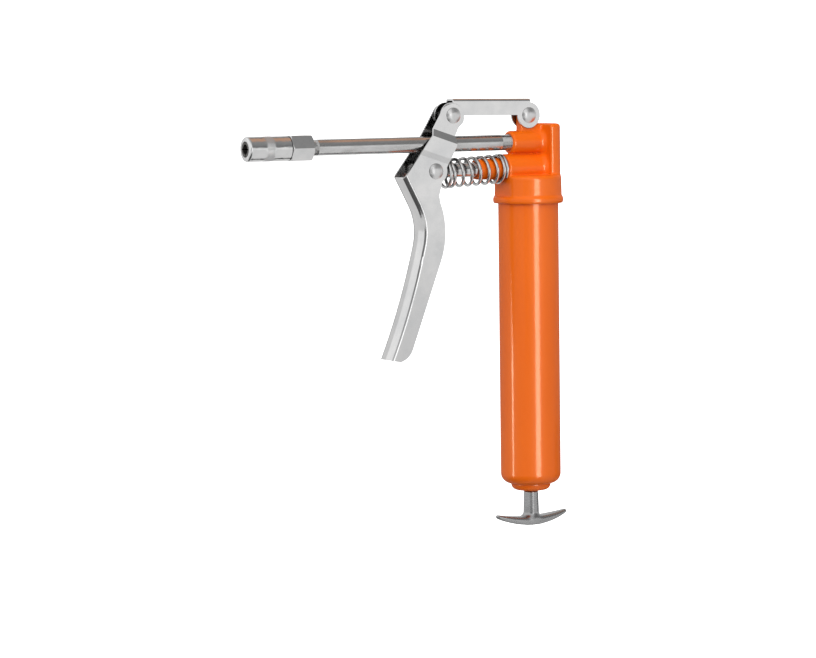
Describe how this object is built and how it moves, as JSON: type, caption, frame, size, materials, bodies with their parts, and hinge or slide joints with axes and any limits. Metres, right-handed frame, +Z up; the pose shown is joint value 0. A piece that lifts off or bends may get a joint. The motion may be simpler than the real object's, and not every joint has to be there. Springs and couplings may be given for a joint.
{
  "type": "mini grease gun",
  "caption": "Hand-held lever grease gun: upright grease barrel under a cast head, plated squeeze lever and link driving a spring-return plunger, straight pipe with a hooking nipple coupler.",
  "frame": {"origin": "centre of the coupler's mouth, on the delivery pipe's axis", "axes": "+X from the coupler along the pipe towards the barrel, +Z up with the barrel hanging towards -Z, Y = 0 the symmetry plane"},
  "size_m": [0.2366, 0.0466, 0.2847],
  "materials": {
    "orange_paint": "gloss",
    "chrome_plate": "bright plated, fine brushed",
    "nickel_plate": "plated, satin to bright",
    "pipe_steel": "drawn, bright",
    "spring_steel": "bright drawn wire",
    "plunger_steel": "ground",
    "cast_grey": "matt cast",
    "dark_steel": "oiled",
    "black_rubber": "matt"
  },
  "bodies": {
    "head": {"head_casting": "orange_paint", "passage_plug": "dark_steel", "barrel_gasket": "black_rubber", "plunger_seal": "black_rubber", "extension_pipe": "pipe_steel", "coupler_adapter": "nickel_plate", "coupler_sleeve": "nickel_plate", "coupler_spring": "spring_steel", "outlet_check_spring": "spring_steel", "return_spring": "spring_steel"},
    "plunger": {"plunger": "plunger_steel"},
    "lever": {"lever": "chrome_plate", "link_lever_rivet": "chrome_plate", "plunger_rivet": "chrome_plate"},
    "link": {"link": "chrome_plate", "link_head_rivet": "chrome_plate"},
    "barrel": {"barrel": "orange_paint", "follower_spring": "spring_steel"},
    "follower": {"follower_washer": "dark_steel", "follower_piston": "black_rubber", "follower_plate": "dark_steel"},
    "rod": {"follower_rod": "plunger_steel", "follower_nut": "dark_steel", "t_handle": "cast_grey"},
    "outlet_ball": {"outlet_check_ball": "plunger_steel"},
    "jaws": {"coupler_jaws": "dark_steel", "coupler_seal": "black_rubber", "coupler_seal_holder": "dark_steel"}
  },
  "joints": [
    {"name": "lever_squeeze", "type": "hinge", "parent": "plunger", "child": "lever", "pos_m": [0.134, 0, -0.0172], "axis": [0, -1, 0], "range_deg": [0, 21.1]},
    {"name": "plunger_slide", "type": "slide", "parent": "head", "child": "plunger", "axis": [1, 0, 0], "range_m": [0, 0.0142], "deforming": ["return_spring"]},
    {"name": "link_swing", "type": "hinge", "parent": "head", "child": "link", "pos_m": [0.2074, 0, 0.0178], "axis": [0, 1, 0], "range_deg": [0, 3.25]},
    {"name": "barrel_unscrew", "type": "slide", "parent": "head", "child": "barrel", "axis": [0, 0, -1], "range_m": [0, 0.06]},
    {"name": "follower_slide", "type": "slide", "parent": "barrel", "child": "follower", "axis": [0, 0, -1], "range_m": [0, 0.15], "deforming": ["follower_spring"]},
    {"name": "handle_turn", "type": "hinge", "parent": "follower", "child": "rod", "pos_m": [0.209, 0, -0.2417], "axis": [0, 0, 1], "continuous": true},
    {"name": "outlet_check_lift", "type": "slide", "parent": "head", "child": "outlet_ball", "axis": [-1, 0, 0], "range_m": [0, 0.0015], "deforming": ["outlet_check_spring"]},
    {"name": "jaws_push", "type": "slide", "parent": "head", "child": "jaws", "axis": [1, 0, 0], "range_m": [0, 0.0012], "deforming": ["coupler_spring"]}
  ],
  "couplings": [
    {"joint": "plunger_slide", "follows": "lever_squeeze", "m_per_rad": 0.038007},
    {"joint": "link_swing", "follows": "lever_squeeze", "ratio": 0.15162}
  ]
}
